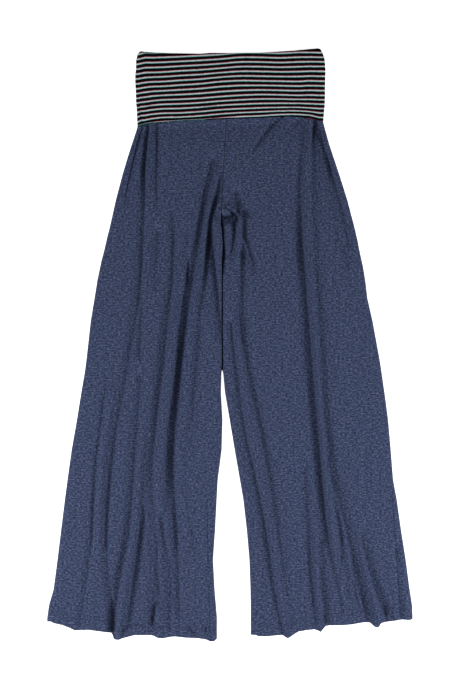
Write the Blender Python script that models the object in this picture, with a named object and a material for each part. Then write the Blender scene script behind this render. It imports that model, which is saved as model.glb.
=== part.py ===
"""Wide-leg jersey trousers laid flat, front up: four leg panels and a fold-over waistband.

The waist points to +Y, the hems to -Y, and the underside rests on z = 0.
Left and right are as seen from above. All sizes are in millimetres until to_object.
"""

from collections import namedtuple

import bpy
import numpy as np

MM = 0.001
WALL = 1.2  # one layer of jersey
BAND_WALL = 2.0  # the waistband's doubled rib
GAP = 0.3  # between two pieces, at seams and where layers rest
HEM_DEPTH = 23.0  # height of the turned-up hem
HEM_EXTRA = 0.6  # what the turned-up layer adds
SEAM_Y = 451.5  # where the legs are sewn to the waistband, under its flap
CROTCH_Y = 250.0
PARTING_Y = -52.0  # below this the legs lie apart
RAMP = 9.0  # length over which a back panel climbs onto the waistband's flap
BAND_CORE = 4.0  # height of the hidden waistband layers
CROWN = 3.5  # how far the front lies above the back, mid leg
EDGE_REACH = 16.0  # over which the front comes down to an edge

Section = namedtuple("Section", "y left_outer left_inner right_inner right_outer")
LEG_SECTIONS = [Section(*row) for row in (
    (451.5, -170, -6.5, -5.5, 174),
    (427, -172, -7, -6.5, 176),
    (408, -176.5, -8, -7.5, 180.5),
    (379.5, -186, -9.5, -9, 188.5),
    (351, -195, -11, -10.5, 198),
    (322.5, -203.5, -13, -12.5, 207.5),
    (275, -216, -15.5, -15, 222.5),
    (250, -221.5, -17, -16, 229),
    (227.5, -226.5, -17.5, -12.5, 235),
    (199, -233.5, -15, -9.5, 241.5),
    (180, -238, -14.5, -9.5, 245.5),
    (157, -244, -15.5, -13, 250.5),
    (123, -251, -15.5, -14, 256.5),
    (47, -263.5, -15, -13.5, 270),
    (-29, -272, -15, -13.5, 284),
    (-52, -275, -16, -13, 287.5),
    (-90, -281.5, -17, -9.5, 293),
    (-143, -290, -15, 0.5, 300),
    (-200, -300, -16.5, 10, 305),
    (-257, -308, -24, 20, 309.5),
    (-295, -313, -26, 26.5, 316.5),
    (-352, -320, -28.5, 33, 324.5),
    (-409, -327, -32.5, 38, 332.5),
    (-466, -335, -29.5, 40, 340.5),
    (-494.5, -343.5, -27, 40.5, 346),
    (-519.5, -347.5, -25, 40.5, 347.5),
)]

Point = namedtuple("Point", "x y")
LEFT_HEM = [Point(*row) for row in (
    (-347.5, -524), (-333.5, -528), (-318, -533), (-303, -538.5), (-294.5, -542.5),
    (-269.5, -542), (-250.5, -544), (-235.5, -546), (-223, -548), (-219, -559.5),
    (-211.5, -560.5), (-204, -557.5), (-181.5, -551.5), (-150, -551.5), (-135.5, -557.5),
    (-127, -557.5), (-112, -555), (-82.5, -556.5), (-58.5, -557.5), (-44.5, -560.5),
    (-37, -563.5), (-29.5, -563), (-24.5, -558.5),
)]
RIGHT_HEM = [Point(*row) for row in (
    (40.5, -550), (54.5, -553), (72.5, -553.5), (100, -551.5), (107.5, -556),
    (115, -554), (130.5, -544.5), (145.5, -542), (160.5, -540.5), (169.5, -543.5),
    (174.5, -542), (178, -536), (190, -533), (221.5, -532.5), (252, -527.5),
    (267, -527.5), (277.5, -536.5), (283.5, -536.5), (289, -528), (305, -525),
    (328, -522), (342, -523), (347.5, -519.5),
)]
BAND_TOP = [Point(*row) for row in (
    (-172, 555.5), (-168, 557.5), (-152, 555.5), (-114, 554), (-57, 552.5), (0, 554.5),
    (57, 555), (99, 557.5), (123.5, 559), (144.5, 561.5), (167.5, 563.5), (173.5, 559.5),
)]
BAND_FREE_EDGE = [Point(*row) for row in (
    (-175.5, 414.5), (-169, 417.5), (-155.5, 421), (-134.5, 424), (-115.5, 426),
    (-89, 427), (-49, 428), (0, 432), (32.5, 431), (74.5, 433), (97, 435), (116, 435.5),
    (137, 432.5), (158, 428.5), (178, 424),
)]
BandSection = namedtuple("BandSection", "y left right")
BAND_SECTIONS = [BandSection(*row) for row in (
    (558, -170, 173.5), (550.5, -175, 177), (541, -177.5, 180), (522, -178.5, 181.5),
    (503, -179, 181.5), (484, -179, 180), (465, -178, 179.5), (446, -177, 179.5),
    (427, -176, 179), (413.5, -175.5, 178),
)]

# A crease runs from y_top down to y_foot, with its x given at seven even heights between them.
# Its depth is given at the top, the middle and the foot. A roll is a crease of negative depth.
Fold = namedtuple(
    "Fold", "name y_top y_foot x0 x1 x2 x3 x4 x5 x6 deep_top deep_mid deep_foot reach_left reach_right"
)
LEFT_FOLDS = [Fold(*row) for row in (
    ("side_crease", -105, -494.5, -237.5, -245.5, -252, -257, -263.5, -272.5, -281,
     1.5, 3, 2.5, 8, 7),
    ("overlap_crease", -105, -542, -171, -178, -185.5, -189.5, -198.5, -215, -222,
     1.5, 4, 7, 8, 7),
    ("hip_crease_outer", 438, -538.5, -156.5, -163, -171.5, -196, -222.5, -233.5, -220,
     4.5, 2.2, 5, 8, 8),
    ("hip_edge_crease", 423, 275, -165, -171.5, -178, -185.5, -190, -192.5, -195.5,
     2.5, 1.5, 0.5, 6, 6),
    ("shin_crease", -304.5, -508, -165, -166.5, -169, -173, -177.5, -184, -191.5,
     2, 4, 2, 7, 7),
    ("hip_crease_short", 423, 265.5, -136.5, -134.5, -133, -138, -138.5, -138.5, -138.5,
     2, 2, 1, 6, 6),
    ("mid_crease", 246.5, -531, -106, -111.5, -123.5, -140.5, -150, -139.5, -148,
     1.5, 4, 6, 8, 7.5),
    ("cuff_hollow", -333, -532.5, -127, -122, -117, -115, -114, -114, -114, 2, 3, 2.5, 9, 9),
    ("inner_ripple", -295, -428, -76, -73.5, -71.5, -68.5, -65.5, -62, -58.5, 1, 1.5, 1, 9, 9),
    ("long_crease", 345, -508, -30, -60, -86.5, -100.5, -111.5, -101, -95,
     4.5, 6, 2.5, 6.5, 6.5),
    ("crotch_crease", 316.5, 85, -17, -26.5, -37, -39, -41, -47, -53, 4, 7.5, 1.5, 7, 7),
    ("inseam_crease", 199, 28, -35, -31.5, -28.5, -25.5, -22.5, -20, -17, 6, 5, 2, 5, 5),
    ("roll_side", -95.5, -380.5, -224, -233.5, -240, -243.5, -244.5, -245, -245,
     -1, -2.5, -1, 10, 10),
    ("roll_overlap", -323.5, -546, -174.5, -181, -187, -192.5, -198.5, -205.5, -210.5,
     -1, -3, -4, 9, 10),
    ("roll_long", 265.5, -380.5, -58.5, -86, -100.5, -113.5, -124, -128, -117.5,
     -1.5, -3.5, -1.5, 14, 14),
    ("roll_crotch", 328, 66, -26.5, -38.5, -46.5, -50.5, -58.5, -65, -70, -2, -3.5, -1, 7, 7),
    ("roll_thigh", 237, 145.5, -26.5, -26, -25.5, -24.5, -23, -22, -20.5, -2, -2.5, -1.5, 6, 6),
)]
RIGHT_FOLDS = [Fold(*row) for row in (
    ("crotch_hollow", 250, 161, 11.5, 11.5, 9.5, 8, 7, 5.5, 4, 5, 6, 1.5, 7, 5),
    ("crotch_slant", 216, 132.5, 23, 27.5, 32, 36, 39.5, 41.5, 44, 3, 4, 1, 5, 6),
    ("inseam_crease", 37.5, -546, -1.5, 15, 24, 48.5, 64.5, 80.5, 101, 2, 4, 6, 6, 6),
    ("inner_crease", 170.5, -519.5, 21, 22.5, 40.5, 63.5, 81, 97, 112.5, 2.5, 4, 1.5, 7.5, 8),
    ("hip_slant", 434.5, 358.5, 97, 87.5, 76.5, 64.5, 55, 46, 38, 3, 3, 1, 6, 8),
    ("hip_crease_short", 434.5, 415.5, 141, 138.5, 135.5, 133, 130.5, 128, 125.5,
     2.5, 1.5, 0.5, 6, 6),
    ("cuff_crease_mid", -238, -527, 142.5, 144, 146, 149, 152.5, 157.5, 161.5,
     1.5, 3.5, 4.5, 7, 7),
    ("long_crease", 442, -494.5, 142.5, 131.5, 137.5, 150, 163, 178, 213,
     4.5, 5.5, 2.5, 7.5, 8),
    ("cuff_crease_second", -380.5, -527, 173, 173.5, 174.5, 176, 178.5, 182, 186.5,
     1.5, 3.5, 5, 6, 6),
    ("hip_edge_crease", 427, 199, 165.5, 175, 184.5, 198.5, 208.5, 214.5, 218.5,
     2, 3, 1, 7, 7),
    ("side_crease", 438, -519.5, 163.5, 159.5, 167.5, 177, 190, 227, 260.5,
     3.5, 4, 6.5, 7, 7),
    ("cuff_crease_faint", -409, -494.5, 220.5, 221, 221.5, 222, 222.5, 224.5, 226.5,
     1, 1.5, 1, 6, 6),
    ("cuff_crease_outer", -361.5, -519.5, 251, 256, 262, 271, 280.5, 291, 298.5,
     2, 4.5, 6.5, 7, 7),
    ("roll_crotch", 263.5, 132.5, 4, 16.5, 19, 18, 16, 15, 13.5, -1.5, -2.5, -1, 5, 5),
    ("roll_inseam", 28, -546, 13.5, 26, 41, 61.5, 77.5, 91, 108.5, -1.5, -3, -4, 9, 9),
    ("roll_cuff_mid", -371, -538.5, 161.5, 162.5, 163.5, 165.5, 167, 170, 173,
     -1, -2.5, -3.5, 8, 8),
    ("roll_long", 430.5, -371, 148.5, 145, 150.5, 160, 170, 182.5, 203.5,
     -2, -3.5, -1, 8, 8),
    ("roll_cuff_side", -399.5, -532.5, 253, 257.5, 262, 266, 270.5, 275, 279.5,
     -1, -3, -4.5, 8, 8),
)]

# Columns of the front panels that follow a fold's floor and, for the long ones, its two sides.
FLOOR = (0.0,)
SIDES = (-1.0, 0.0, 1.0)
FULL = (-1.0, -0.5, 0.0, 0.5, 1.0)
LEFT_LINES = {
    "side_crease": SIDES, "overlap_crease": FULL, "hip_crease_outer": FULL,
    "shin_crease": SIDES, "mid_crease": FULL, "cuff_hollow": SIDES,
    "long_crease": FULL, "roll_long": FLOOR, "roll_crotch": FLOOR,
    "crotch_crease": FULL, "inseam_crease": SIDES, "roll_thigh": FLOOR, "inner_ripple": FLOOR,
}
RIGHT_LINES = {
    "crotch_hollow": SIDES, "inseam_crease": FULL, "roll_inseam": FLOOR,
    "inner_crease": FULL, "cuff_crease_mid": SIDES, "roll_cuff_mid": FLOOR,
    "cuff_crease_second": SIDES, "long_crease": FULL, "roll_long": FLOOR,
    "side_crease": FULL, "hip_edge_crease": SIDES, "roll_cuff_side": FLOOR,
    "cuff_crease_outer": SIDES, "roll_crotch": FLOOR, "hip_slant": FLOOR,
}
EDGE_COLUMNS = (2.5, 7.0, 14.0)  # distances from an edge
MIN_STEP = 1.8  # least distance between two columns

# The rows of a leg panel: at a height, or so far from the waistband's free edge or the hem.
Row = namedtuple("Row", "kind at")
PANEL_ROWS = [Row(*row) for row in (
    ("y", 451.5), ("edge", -1.5), ("edge", -RAMP - 2.0), ("y", 392), ("y", 352), ("y", 312),
    ("y", 280), ("y", 262), ("y", 252), ("y", 246), ("y", 240), ("y", 226), ("y", 204),
    ("y", 180), ("y", 152), ("y", 115), ("y", 75), ("y", 35), ("y", -10), ("y", -52),
    ("y", -95), ("y", -143), ("y", -190), ("y", -238), ("y", -285), ("y", -330), ("y", -370),
    ("y", -410), ("y", -445), ("y", -478), ("hem", HEM_DEPTH + 1.0), ("hem", HEM_DEPTH),
    ("hem", 4.0), ("hem", 0.0),
)]


BACK_SKIPS = (352, 280, 262, 252, 246, 115, 35, -370, -445)  # rows the flat backs do without


def column(table, name):
    return np.array([getattr(row, name) for row in table], float)


def read(table, at, name, key="y"):
    """A table's column at given places along its key column."""
    keys = column(table, key)
    order = np.argsort(keys)
    return np.interp(at, keys[order], column(table, name)[order])


def smooth(t):
    t = np.clip(t, 0.0, 1.0)
    return t * t * (3.0 - 2.0 * t)


def rounded(distance, reach):
    """0 at an edge, 1 from reach inwards, as a quarter round."""
    t = 1.0 - np.clip(distance / reach, 0.0, 1.0)
    return np.sqrt(1.0 - t * t)


def free_edge(x):
    return read(BAND_FREE_EDGE, x, "y", "x")


def fold_x(fold, y):
    """The fold's place at a height, and how far along it that height lies."""
    t = (fold.y_top - y) / (fold.y_top - fold.y_foot)
    xs = [fold.x0, fold.x1, fold.x2, fold.x3, fold.x4, fold.x5, fold.x6]
    return np.interp(np.clip(t, 0.0, 1.0), np.linspace(0.0, 1.0, 7), xs), t


def fold_depth(fold, t):
    mid = 2.0 * fold.deep_mid - 0.5 * (fold.deep_top + fold.deep_foot)
    s = np.clip(t, 0.0, 1.0)
    depth = (1 - s) ** 2 * fold.deep_top + 2 * s * (1 - s) * mid + s * s * fold.deep_foot
    fade = 22.0 / (fold.y_top - fold.y_foot)
    return depth * smooth(1.0 + t / fade) * smooth(1.0 + (1.0 - t) / fade)


class Leg:
    """One leg's edges, hem and folds."""

    def __init__(self, side, hem, folds, lines):
        self.side = side
        self.hem_table = hem
        self.folds = folds
        self.lines = lines
        self.sign = -1.0 if side == "left" else 1.0

    def outer(self, y):
        return read(LEG_SECTIONS, y, self.side + "_outer")

    def centre(self, y):
        """This leg's side of the centre seam."""
        between = read(LEG_SECTIONS, y, "left_inner") + read(LEG_SECTIONS, y, "right_inner")
        return 0.5 * between + self.sign * GAP / 2.0

    def inner(self, y):
        """The front's inner edge: the centre seam, then the leg's own edge below the crotch."""
        own = read(LEG_SECTIONS, y, self.side + "_inner")
        return np.where(np.asarray(y) >= CROTCH_Y, self.centre(y), own)

    def middle(self, y):
        """The back's inner edge, which keeps to the middle down to where the legs part."""
        return np.where(np.asarray(y) >= PARTING_Y, self.centre(y), self.inner(y))

    def hem(self, x):
        return read(self.hem_table, x, "y", "x")

    def place(self, row, x):
        """The y of a row at each x."""
        if row.kind == "edge":
            return free_edge(x) + row.at
        if row.kind == "hem":
            return self.hem(x) + row.at
        settle = smooth((-300.0 - row.at) / 170.0) * 0.45
        return row.at + settle * (self.hem(x) + 550.0) + 0.0 * x

    def nominal(self, row):
        return {"y": row.at, "edge": 427.0 + row.at, "hem": -540.0 + row.at}[row.kind]

    def lift(self, x, y):
        """How far the front panel lies above its lowest, on the back panel."""
        crown = CROWN - 2.6 * smooth((y - 375.0) / 50.0)
        free = 1.0 - 0.72 * smooth((y - 385.0) / 35.0)
        body = 0.0 * x
        for fold in self.folds:
            middle, t = fold_x(fold, y)
            reach = np.where(x < middle, fold.reach_left, fold.reach_right)
            u = np.clip(np.abs(x - middle) / reach, 0.0, 1.0)
            body = body - fold_depth(fold, t) * np.cos(0.5 * np.pi * u) ** 2
        # The crotch: the front drops along an arch just below the end of its centre seam.
        reach_x = np.clip((np.abs(x + 5.0) - 12.0) / 10.0, 0.0, 1.0)
        arch = CROTCH_Y - 4.0 - 0.02 * np.square(x + 6.0)
        body = body - 4.0 * np.cos(0.5 * np.pi * np.clip(np.abs(y - arch) / 7.0, 0, 1)) ** 2 * (
            1.0 - smooth(reach_x)
        )
        edge = rounded(np.abs(x - self.outer(y)), EDGE_REACH)
        below = smooth((CROTCH_Y + 2.0 - y) / 10.0)
        inner = rounded(np.abs(x - self.inner(y)), 9.0)
        edge = edge * (1.0 - below * (1.0 - inner))
        total = (crown + free * body) * edge
        return 0.5 * (total + np.sqrt(total * total + 0.25)) - 0.25 * (1.0 - edge)

    def back_low(self, x, y):
        """The back panel's underside: on the floor, then up onto the waistband's back flap."""
        rise = smooth((y - (free_edge(x) - RAMP - 1.0)) / RAMP)
        return (BAND_WALL + GAP) * rise

    def hem_extra(self, x, y, sooner=0.0):
        return HEM_EXTRA * smooth(self.hem(x) + HEM_DEPTH + 1.0 + sooner - y)

    def columns(self, y):
        """The front panel's columns at a height, from left to right, clear of each other."""
        outer = float(self.outer(y))
        inner = float(self.inner(y))
        found = []
        for fold in self.folds:
            for side in self.lines.get(fold.name, ()):
                y_on = min(max(y, fold.y_foot), fold.y_top)
                middle, _ = fold_x(fold, y_on)
                share = (middle - self.inner(y_on)) / (self.outer(y_on) - self.inner(y_on))
                reach = fold.reach_right if side > 0 else fold.reach_left
                found.append(inner + float(share) * (outer - inner) + side * reach)
        for step in EDGE_COLUMNS:
            found.append(outer - self.sign * step)
            found.append(inner + self.sign * step)
        ends = sorted((outer, inner))
        least = min(MIN_STEP, 0.45 * (ends[1] - ends[0]) / (len(found) + 1))
        xs = [ends[0], *sorted(found), ends[1]]
        for i in range(1, len(xs)):
            xs[i] = max(xs[i], xs[i - 1] + least)
        xs[-1] = ends[1]
        for i in range(len(xs) - 2, -1, -1):
            xs[i] = min(xs[i], xs[i + 1] - least)
        xs[0] = ends[0]
        return np.array(xs)


def slope_factor(z, x, y):
    """How much taller a wall's upright height is than its true thickness, from its slope."""
    dz_dk = np.gradient(z, axis=1)
    dx_dk = np.gradient(x, axis=1)
    slope = dz_dk / np.where(np.abs(dx_dk) < 1e-6, 1e-6, dx_dk)
    return np.minimum(np.sqrt(1.0 + slope * slope), 1.35)


def to_object(name, vertices, faces, color, roughness):
    mesh = bpy.data.meshes.new(name)
    mesh.from_pydata([tuple(p) for p in np.asarray(vertices) * MM], [], faces)
    mesh.validate()
    material = bpy.data.materials.new(name)
    material.use_nodes = True
    shader = material.node_tree.nodes["Principled BSDF"]
    shader.inputs["Base Color"].default_value = (*color, 1.0)
    shader.inputs["Roughness"].default_value = roughness
    mesh.materials.append(material)
    obj = bpy.data.objects.new(name, mesh)
    bpy.context.scene.collection.objects.link(obj)
    return obj


def sheet_solid(name, x, y, low, high, color, roughness=0.9):
    """A wall between two height fields over one grid, rows running down, columns to the right."""
    rows, cols = x.shape
    upper = np.stack([x, y, high], axis=-1).reshape(-1, 3)
    lower = np.stack([x, y, low], axis=-1).reshape(-1, 3)
    count = rows * cols
    faces = []
    for j in range(rows - 1):
        for k in range(cols - 1):
            a = j * cols + k
            b, c, d = a + cols, a + cols + 1, a + 1
            kink_ac = abs(high[j, k] + high[j + 1, k + 1] - high[j + 1, k] - high[j, k + 1])
            first = upper[a, 2] + upper[c, 2] >= upper[b, 2] + upper[d, 2]
            if kink_ac < 1e-9:
                first = (j + k) % 2 == 0
            if first:
                faces += [(a, b, c), (a, c, d)]
                faces += [(count + a, count + c, count + b), (count + a, count + d, count + c)]
            else:
                faces += [(a, b, d), (b, c, d)]
                faces += [(count + a, count + d, count + b), (count + b, count + d, count + c)]
    ring = [k for k in range(cols)]
    ring += [j * cols + cols - 1 for j in range(1, rows)]
    ring += [(rows - 1) * cols + k for k in range(cols - 2, -1, -1)]
    ring += [j * cols for j in range(rows - 2, 0, -1)]
    for i, a in enumerate(ring):
        b = ring[(i + 1) % len(ring)]
        faces += [(a, b, count + b), (a, count + b, count + a)]
    return to_object(name, np.concatenate([upper, lower]), faces, color, roughness)


def front_panel(leg, name, color):
    x, y = [], []
    for row in PANEL_ROWS:
        xs = leg.columns(leg.nominal(row))
        x.append(xs)
        y.append(leg.place(row, xs))
    x, y = np.array(x), np.array(y)
    base = leg.back_low(x, y) + WALL + leg.hem_extra(x, y, sooner=1.5) + GAP
    low = base + leg.lift(x, y)
    high = low + WALL * slope_factor(low, x, y) + leg.hem_extra(x, y)
    return sheet_solid(name, x, y, low, high, color)


def back_panel(leg, name, color):
    x, y = [], []
    for row in PANEL_ROWS:
        if row.kind == "y" and row.at in BACK_SKIPS:
            continue
        nominal = leg.nominal(row)
        ends = sorted((float(leg.outer(nominal)), float(leg.middle(nominal))))
        hem_xs = column(leg.hem_table, "x")
        shares = (hem_xs - hem_xs[0]) / (hem_xs[-1] - hem_xs[0])
        xs = ends[0] + shares * (ends[1] - ends[0])
        x.append(xs)
        y.append(leg.place(row, xs))
    x, y = np.array(x), np.array(y)
    low = leg.back_low(x, y)
    high = low + WALL + leg.hem_extra(x, y)
    return sheet_solid(name, x, y, low, high, color)


def band_side(y, name):
    return read(BAND_SECTIONS, y, name)


def band_columns(y):
    left, right = band_side(y, "left"), band_side(y, "right")
    steps = (0.0, 1.0, 2.5, 5.0, 9.0)
    inside = np.linspace(left + 22.0, right - 22.0, 15)
    return np.concatenate([left + np.array(steps), inside, right - np.array(steps)[::-1]])


def band_top(x, inset):
    return read(BAND_TOP, x, "y", "x") - inset


def front_flap(color, leg_left, leg_right):
    """The waistband's front flap: its top is the fold, its free edge lies on the legs."""
    x, y = [], []
    kinds = [("edge", 0.0), ("edge", 5.0), ("y", 449.5), ("y", 456.5), ("y", 478.0), ("y", 500.0),
             ("y", 522.0), ("y", 540.0), ("top", 9.0), ("top", 5.0), ("top", 2.5), ("top", 1.0),
             ("top", 0.0)]
    for kind, at in reversed(kinds):
        nominal = {"edge": 424.0 + at, "y": at, "top": 558.0 - at}[kind]
        xs = band_columns(nominal)
        corner = 2.2 * smooth((np.abs(xs) - 135.0) / 15.0)
        place = {"edge": free_edge(xs) + at, "y": at + 0 * xs, "top": band_top(xs, at + corner)}[kind]
        x.append(xs)
        y.append(place)
    x, y = np.array(x), np.array(y)
    level = 2.0 * BAND_WALL - BAND_WALL + GAP + BAND_CORE + GAP  # underside of the flap
    back_top = BAND_WALL + GAP
    fold_level = 0.5 * (back_top + level)
    under_legs = smooth((453.0 - y) / 3.0)
    near_top = smooth((y - (band_top(x, 0.0) - 9.0)) / 3.0)
    side_level = back_top * (1 - under_legs) + 5.45 * under_legs
    side_level = side_level * (1 - near_top) + fold_level * near_top
    from_side = np.minimum(x - x[:, :1], x[:, -1:] - x)
    from_top = band_top(x, 0.0) - y
    drop_side = (level - side_level) * (1.0 - rounded(from_side, 10.0))
    drop_top = (level - fold_level) * (1.0 - rounded(from_top, 7.0))
    low = level - np.maximum(drop_side, drop_top)
    for leg in (leg_left, leg_right):
        inside = (x >= min(leg.outer(440.0), leg.inner(440.0)) - 3) & (
            x <= max(leg.outer(440.0), leg.inner(440.0)) + 3
        ) & (y < SEAM_Y + 1.0)
        clear = leg.back_low(x, y * 0 + 445.0) + WALL + GAP + leg.lift(x, y) + WALL * 1.15 + GAP + 0.15
        low = np.where(inside & (from_side > 3.0), np.maximum(low, clear), low)
    high = low + BAND_WALL
    return sheet_solid("waistband_front", x, y, low, high, color)


def back_flap(color):
    """The waistband's back flap, flat on the floor, its fold a little thicker at the top."""
    x, y = [], []
    kinds = [("edge", 0.3), ("y", 449.5), ("y", 500.0), ("y", 540.0), ("top", 6.0), ("top", 4.5),
             ("top", 3.0), ("top", 1.0), ("top", 0.0)]
    for kind, at in reversed(kinds):
        nominal = {"edge": 424.0 + at, "y": at, "top": 558.0 - at}[kind]
        xs = band_columns(nominal)
        place = {"edge": free_edge(xs) + at, "y": at + 0 * xs, "top": band_top(xs, at)}[kind]
        x.append(xs)
        y.append(place)
    x, y = np.array(x), np.array(y)
    from_top = band_top(x, 0.0) - y
    folded = smooth((4.5 - from_top) / 1.5)
    low = 0.0 * x
    high = BAND_WALL + folded * (BAND_CORE / 2.0 + GAP / 2.0 - 0.2) - 0.5 * smooth(1.0 - from_top)
    return sheet_solid("waistband_back", x, y, low, high, color)


def band_core(color):
    """The hidden waistband layers as one rounded solid, layered at its edges."""
    base = BAND_WALL + GAP
    Level = namedtuple("Level", "z inset")
    levels = [Level(*row) for row in (
        (base, 1.2), (base + 0.4, 0.3), (base + 0.9, 0.0), (base + 1.7, 0.0), (base + 1.9, 1.6),
        (base + 2.1, 1.6), (base + 2.3, 0.0), (base + 3.1, 0.0), (base + 3.6, 0.3),
        (base + BAND_CORE, 1.2),
    )]
    top_xs = np.linspace(-160.0, 163.0, 18)
    side_ys = np.linspace(540.0, 458.0, 5)
    vertices = []
    for level in levels:
        ring = []
        for x in top_xs:
            ring.append((x, float(band_top(x, 8.0)) - level.inset))
        for y in side_ys:
            ring.append((float(band_side(y, "right")) - 9.0 - level.inset, y))
        for x in np.linspace(165.0, -162.0, 18):
            ring.append((x, SEAM_Y + GAP + level.inset))
        for y in side_ys[::-1]:
            ring.append((float(band_side(y, "left")) + 9.0 + level.inset, y))
        vertices += [(x, y, level.z) for x, y in ring]
    count = len(ring)
    faces = []
    for i in range(len(levels) - 1):
        for k in range(count):
            a, b = i * count + k, i * count + (k + 1) % count
            faces += [(a, a + count, b + count), (a, b + count, b)]
    last = (len(levels) - 1) * count
    n = 18
    for bottom in (True, False):
        start = 0 if bottom else last
        strip = []
        upper_ids = list(range(n))
        lower_ids = [n + 5 + (n - 1 - k) for k in range(n)]
        for k in range(n - 1):
            strip += [(upper_ids[k], upper_ids[k + 1], lower_ids[k + 1])]
            strip += [(upper_ids[k], lower_ids[k + 1], lower_ids[k])]
        right = [n - 1] + list(range(n, n + 5)) + [n + 5]
        for k in range(1, len(right) - 1):
            strip.append((right[0], right[k], right[k + 1]))
        left = [2 * n + 4] + list(range(2 * n + 5, 2 * n + 10)) + [0]
        for k in range(1, len(left) - 1):
            strip.append((left[0], left[k], left[k + 1]))
        for a, b, c in strip:
            faces.append((start + a, start + b, start + c) if bottom
                         else (start + a, start + c, start + b))
    return to_object("waistband_inner", vertices, faces, color, 0.9)


for old in list(bpy.data.objects):
    bpy.data.objects.remove(old, do_unlink=True)

NAVY = (0.045, 0.062, 0.118)
BAND_DARK = (0.020, 0.026, 0.034)

left = Leg("left", LEFT_HEM, LEFT_FOLDS, LEFT_LINES)
right = Leg("right", RIGHT_HEM, RIGHT_FOLDS, RIGHT_LINES)
front_panel(left, "front_left_leg", NAVY)
front_panel(right, "front_right_leg", NAVY)
back_panel(left, "back_left_leg", NAVY)
back_panel(right, "back_right_leg", NAVY)
front_flap(BAND_DARK, left, right)
back_flap(BAND_DARK)
band_core(BAND_DARK)
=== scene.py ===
"""Wide-leg jersey trousers laid flat, front up, with a striped fold-over waistband: how they look.

The waist points to +Y, the hems to -Y, and the underside rests on z = 0.
Left and right are as seen from above. Tables and lengths are in millimetres until a mesh is made.
"""

from collections import namedtuple

import bpy
import numpy as np
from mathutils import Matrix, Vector


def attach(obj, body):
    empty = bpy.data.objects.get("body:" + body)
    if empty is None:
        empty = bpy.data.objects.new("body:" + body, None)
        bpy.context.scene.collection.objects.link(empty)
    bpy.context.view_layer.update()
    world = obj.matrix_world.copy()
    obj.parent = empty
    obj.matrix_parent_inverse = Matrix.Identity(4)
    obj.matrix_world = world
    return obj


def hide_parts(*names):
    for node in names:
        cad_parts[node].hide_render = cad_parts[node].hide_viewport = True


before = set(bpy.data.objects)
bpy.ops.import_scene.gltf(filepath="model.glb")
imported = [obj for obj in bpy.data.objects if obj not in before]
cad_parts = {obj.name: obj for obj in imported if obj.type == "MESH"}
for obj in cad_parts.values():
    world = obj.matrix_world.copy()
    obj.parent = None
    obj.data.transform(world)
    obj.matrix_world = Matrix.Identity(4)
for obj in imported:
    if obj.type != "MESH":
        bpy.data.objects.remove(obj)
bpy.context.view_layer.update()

# ---------------------------------------------------------------- sizes and tables
MM = 0.001
WALL = 1.2  # one layer of jersey
CLOTH = 1.1  # the same layer as it is drawn
BAND_WALL = 2.0  # the waistband's doubled rib
GAP = 0.3  # between two pieces, at seams and where layers rest
HEM_DEPTH = 23.0  # height of the turned-up hem
HEM_EXTRA = 0.6  # what the turned-up layer adds
HEM_ROWS = (18.6, 21.8)  # heights of the two rows of hem stitching
SEAM_Y = 451.5  # where the legs are sewn to the waistband, under its flap
CROTCH_Y = 250.0
PARTING_Y = -52.0  # below this the legs lie apart
RAMP = 9.0  # length over which a back panel climbs onto the waistband's flap
BAND_CORE = 4.0  # height of the hidden waistband layers
CROWN = 5.0  # how far the front lies above the back, mid leg
EDGE_REACH = 16.0  # over which the front comes down to an edge
LEG_ROWS = 205
LEG_COLUMNS = 180
BACK_ROWS = 150
BACK_COLUMNS = 90
LEG_CROWDING = 0.07  # how much a leg's columns crowd towards its edges
HEM_FOLLOW_Y = -300.0  # below this a leg's rows begin to follow its hem
HEM_FOLLOW_LENGTH = 220.0

# How the front lies.
CROWN_DROP = 2.6  # how much lower its crown is next to the waistband
CROWN_DROP_Y = 375.0  # where the crown starts to come down
CROWN_DROP_LENGTH = 50.0
FLAP_PRESS = 0.75  # share of a crease's depth that the waistband's flap presses out
FLAP_PRESS_LENGTH = 12.0
INNER_REACH = 5.0  # over which it comes down to its inner edge at the crotch
INNER_REACH_MORE = 4.0  # how much further that takes lower down the leg
FADE_LENGTH = 22.0  # over which a crease begins and ends
TUCK_FADE = 0.22  # share of a tuck's length over which it begins and ends
WAVE_HEIGHT = 0.35  # of its gentle waves
WAVE_ACROSS = 70.0
WAVE_ALONG = 500.0
SHADE_LEVEL = 1.0  # a crease as low as this starts to get painted shade
SHADE_DEPTH = 9.0  # how much deeper it is darkest
HEM_GROOVE = 0.35  # how deep the stitching presses into the hem
HEM_GROOVE_REACH = 2.6
PUCKER_HEIGHT = 0.13
PUCKER_REACH = 8.0
HEM_ROWS_MIDDLE = sum(HEM_ROWS) / 2.0

# How the back stands off the floor.
BACK_WAVE_HEIGHT = 0.12
BACK_WAVE_MOST = 0.3
BACK_FLAT_HEM = 30.0  # height above the hem up to which it lies flat
BACK_FLAT_FADE = 40.0
GULLY_REACH = 12.0  # how far to either side the painted shade between the legs falls on it
GULLY_FADE = 8.0
GULLY_RISE = 12.0  # how far above the crotch that shade begins; it ends where the legs part

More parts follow.
